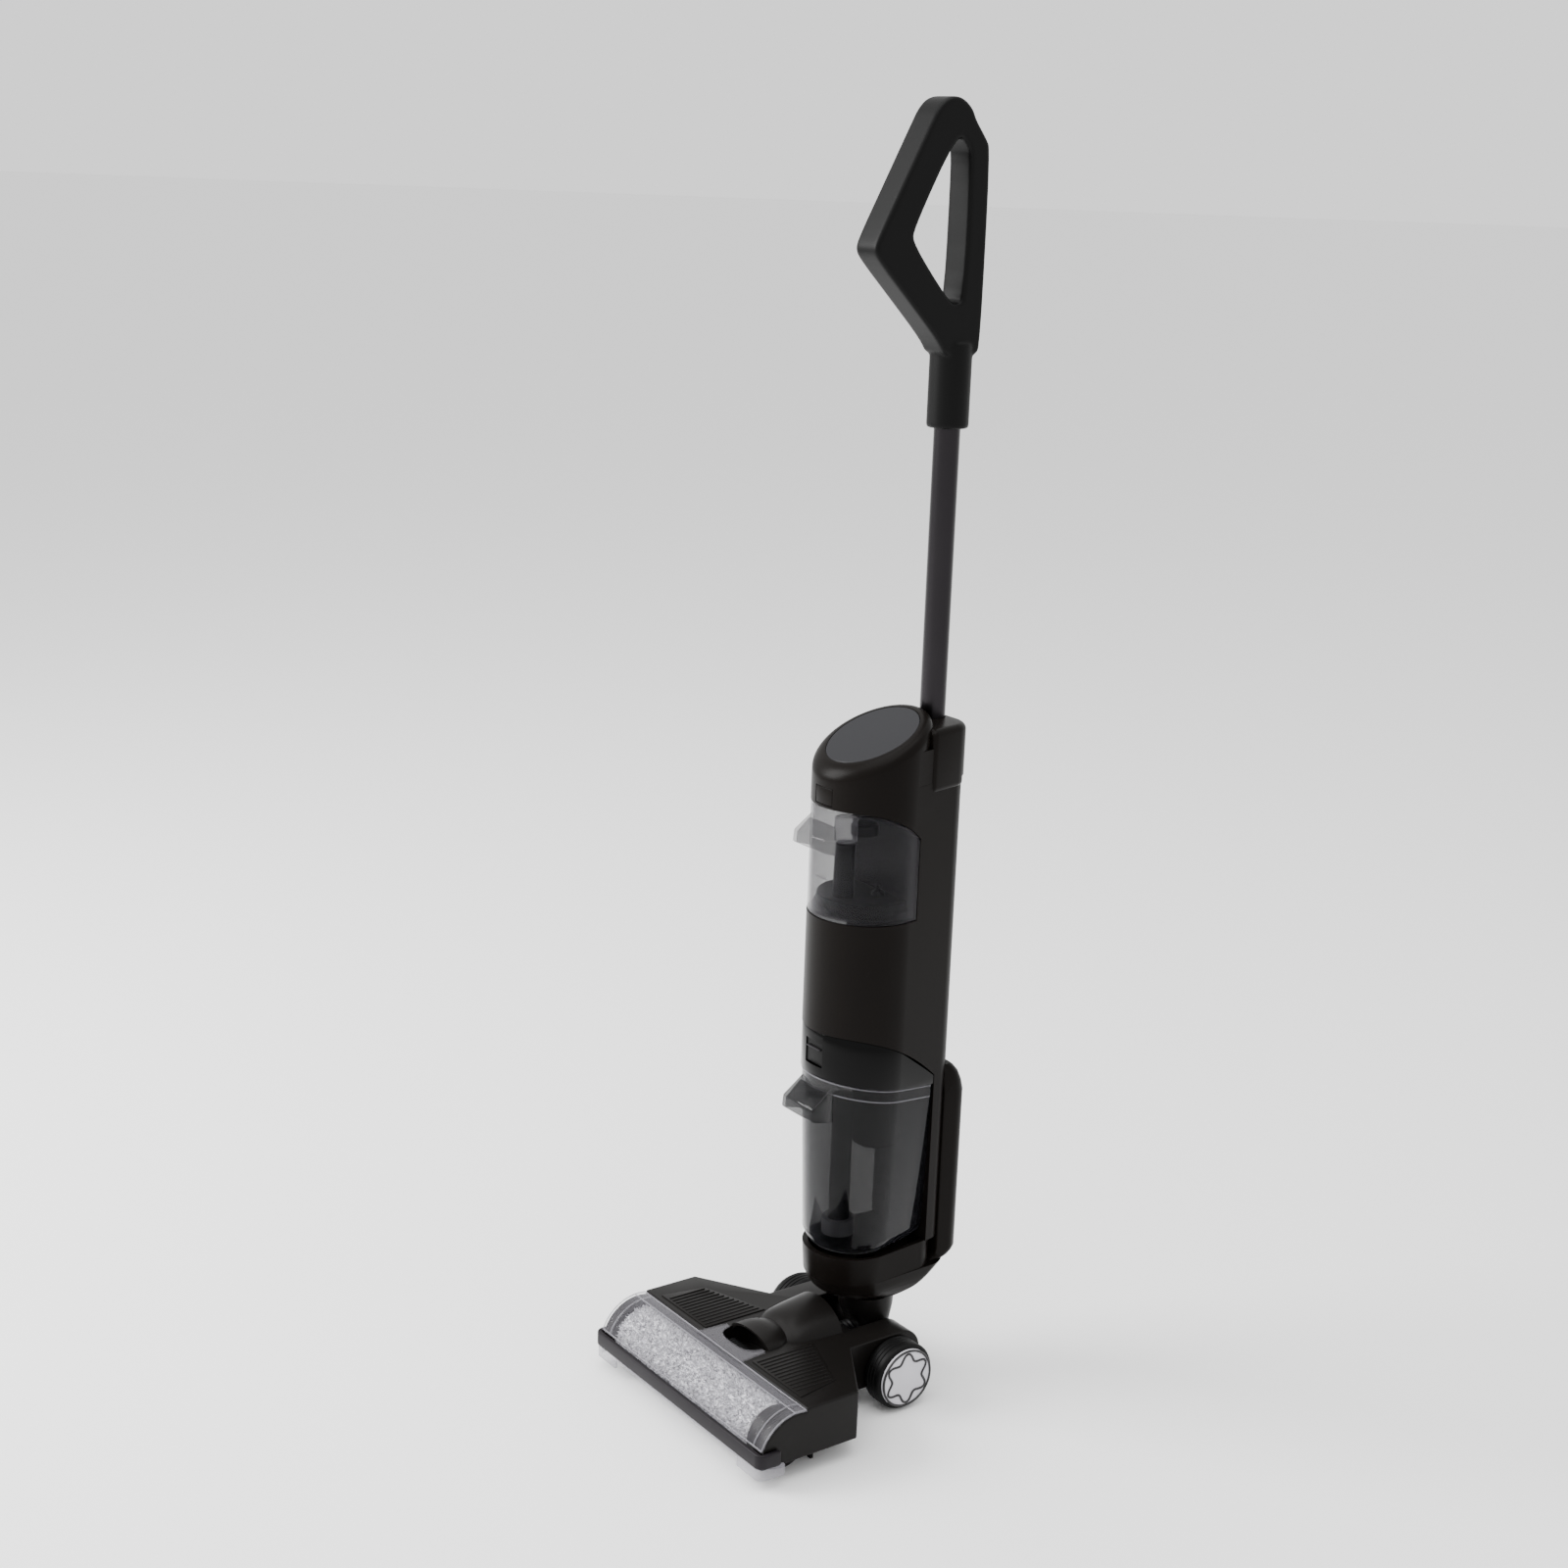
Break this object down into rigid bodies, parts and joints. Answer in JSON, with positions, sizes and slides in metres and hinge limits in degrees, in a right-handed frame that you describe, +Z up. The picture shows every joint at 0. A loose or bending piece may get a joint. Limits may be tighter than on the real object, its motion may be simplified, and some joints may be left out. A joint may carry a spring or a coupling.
{
  "type": "wet dry floor scrubber",
  "caption": "Upright cordless wet dry floor scrubber with a roller head, clear cover, removable clean and dirty water tanks, rear battery, metal pole and loop handle.",
  "frame": {"origin": "on the floor, under the middle of the machine's plan (bounding box bottom centre)", "axes": "+Z up, -Y the front with the roller, X = 0 the machine's plane of symmetry, +X the side on the right of someone who faces the front of the machine; left and right in node names follow that view"},
  "size_m": [0.2614, 0.284, 1.12],
  "materials": {
    "body": "satin brown-black",
    "head": "satin brown-black",
    "soft": "soft-touch black",
    "inner": "dark grey moulding",
    "clear": "clear smoky grey",
    "smoke": "dark smoke, see-through",
    "lid": "gloss black",
    "pole": "dark anodised",
    "steel": "bright",
    "pale": "light grey",
    "pile": "speckled flock",
    "strip": "purple grey",
    "lens": "grey window",
    "board": "circuit board",
    "cell": "sleeved cells, as dense as lithium cells",
    "plate": "black painted steel floor plate",
    "motor": "motor with windings and air gaps, as dense as aluminium on average",
    "tyre": "matt black rubber"
  },
  "bodies": {
    "head": {"head_base": "plate", "head_cover": "head", "bumper_strip": "strip", "corner_guards": "clear", "squeegee": "soft", "spray_bar": "inner", "suction_hose": "soft", "brush_motor": "steel", "drive_belt": "soft", "roller_bearing": "steel", "wheel_axle_left": "steel", "wheel_axle_right": "steel", "tilt_pin_left": "steel", "tilt_pin_right": "steel"},
    "brush_cover": {"brush_cover": "clear"},
    "cover_latch": {"cover_latch": "inner"},
    "roller": {"roller_core": "motor", "roller_pile": "pile", "roller_end_cap": "head", "roller_pulley": "inner"},
    "motor_pulley": {"motor_pulley": "inner"},
    "wheel_left": {"tyre_left": "tyre", "hub_left": "head", "hub_cap_left": "pale"},
    "wheel_right": {"tyre_right": "tyre", "hub_right": "head", "hub_cap_right": "pale"},
    "neck": {"neck_yoke": "head"},
    "upright": {"base_cup": "body", "main_housing": "body", "rear_cover": "body", "suction_motor": "motor", "control_board": "board", "display_lens": "lens", "display_board": "board", "water_pump": "inner", "latch_spring": "steel"},
    "impeller": {"impeller": "inner"},
    "battery": {"battery_pack": "body", "battery_cells": "cell"},
    "clean_latch": {"clean_latch": "body"},
    "clean_tank": {"clean_tank": "clear", "clean_tank_cap": "inner", "clean_tank_pipe": "inner", "clean_tank_base": "inner"},
    "dirty_tank": {"dirty_tank": "smoke", "dirty_tank_lid": "lid", "filter_basket": "inner", "filter_core": "pale", "standpipe": "smoke"},
    "float": {"float_ring": "pale"},
    "dirty_latch": {"dirty_latch": "soft"},
    "mast": {"pole": "pole", "handle_left": "soft", "handle_right": "soft", "rear_grip": "soft"},
    "pole_button": {"pole_button": "soft"},
    "power_button": {"power_button": "inner"},
    "mode_button": {"mode_button": "inner"}
  },
  "joints": [
    {"name": "roller_spin", "type": "hinge", "parent": "head", "child": "roller", "pos_m": [0, -0.104, 0.028], "axis": [1, 0, 0], "continuous": true},
    {"name": "motor_pulley_spin", "type": "hinge", "parent": "head", "child": "motor_pulley", "pos_m": [-0.11, -0.05, 0.037], "axis": [1, 0, 0], "continuous": true},
    {"name": "wheel_left_spin", "type": "hinge", "parent": "head", "child": "wheel_left", "pos_m": [-0.07, 0.048, 0.0305], "axis": [1, 0, 0], "continuous": true},
    {"name": "wheel_right_spin", "type": "hinge", "parent": "head", "child": "wheel_right", "pos_m": [0.07, 0.048, 0.0305], "axis": [1, 0, 0], "continuous": true},
    {"name": "brush_cover_lift", "type": "slide", "parent": "head", "child": "brush_cover", "axis": [0, 0, 1], "range_m": [0, 0.05]},
    {"name": "cover_latch_press", "type": "slide", "parent": "head", "child": "cover_latch", "axis": [0, 1, 0], "range_m": [0, 0.004], "stiffness_N_per_m": 400, "springref_m": -0.001},
    {"name": "neck_tilt", "type": "hinge", "parent": "head", "child": "neck", "pos_m": [0, 0.068, 0.04], "axis": [-1, 0, 0], "range_deg": [0, 60]},
    {"name": "body_swivel", "type": "hinge", "parent": "neck", "child": "upright", "pos_m": [0, 0.066, 0.0765], "axis": [0, 0, 1], "range_deg": [-60, 60]},
    {"name": "impeller_spin", "type": "hinge", "parent": "upright", "child": "impeller", "pos_m": [0, 0.0478, 0.36], "axis": [0, 0, 1], "continuous": true},
    {"name": "battery_slide", "type": "slide", "parent": "upright", "child": "battery", "axis": [0, 1, 0], "range_m": [0, 0.05]},
    {"name": "clean_tank_slide", "type": "slide", "parent": "upright", "child": "clean_tank", "axis": [0, -1, 0], "range_m": [0, 0.08]},
    {"name": "dirty_tank_slide", "type": "slide", "parent": "upright", "child": "dirty_tank", "axis": [0, -1, 0], "range_m": [0, 0.1]},
    {"name": "float_rise", "type": "slide", "parent": "dirty_tank", "child": "float", "axis": [0, 0, 1], "range_m": [0, 0.03]},
    {"name": "clean_latch_press", "type": "slide", "parent": "upright", "child": "clean_latch", "axis": [0, 1, 0], "range_m": [0, 0.002], "stiffness_N_per_m": 500, "springref_m": -0.0005},
    {"name": "dirty_latch_press", "type": "slide", "parent": "dirty_tank", "child": "dirty_latch", "axis": [0, 1, 0], "range_m": [0, 0.002], "stiffness_N_per_m": 500, "springref_m": -0.0005},
    {"name": "pole_lift", "type": "slide", "parent": "upright", "child": "mast", "axis": [0, 0, 1], "range_m": [0, 0.04]},
    {"name": "pole_button_press", "type": "slide", "parent": "upright", "child": "pole_button", "axis": [0, -1, 0], "range_m": [0, 0.0015], "stiffness_N_per_m": 500, "springref_m": -0.0005},
    {"name": "power_button_press", "type": "slide", "parent": "mast", "child": "power_button", "axis": [0, -0.7704, -0.6376], "range_m": [0, 0.001], "stiffness_N_per_m": 500, "springref_m": -0.0005},
    {"name": "mode_button_press", "type": "slide", "parent": "mast", "child": "mode_button", "axis": [0, -0.7704, -0.6376], "range_m": [0, 0.001], "stiffness_N_per_m": 500, "springref_m": -0.0005}
  ],
  "couplings": [
    {"joint": "motor_pulley_spin", "follows": "roller_spin", "ratio": 2}
  ]
}
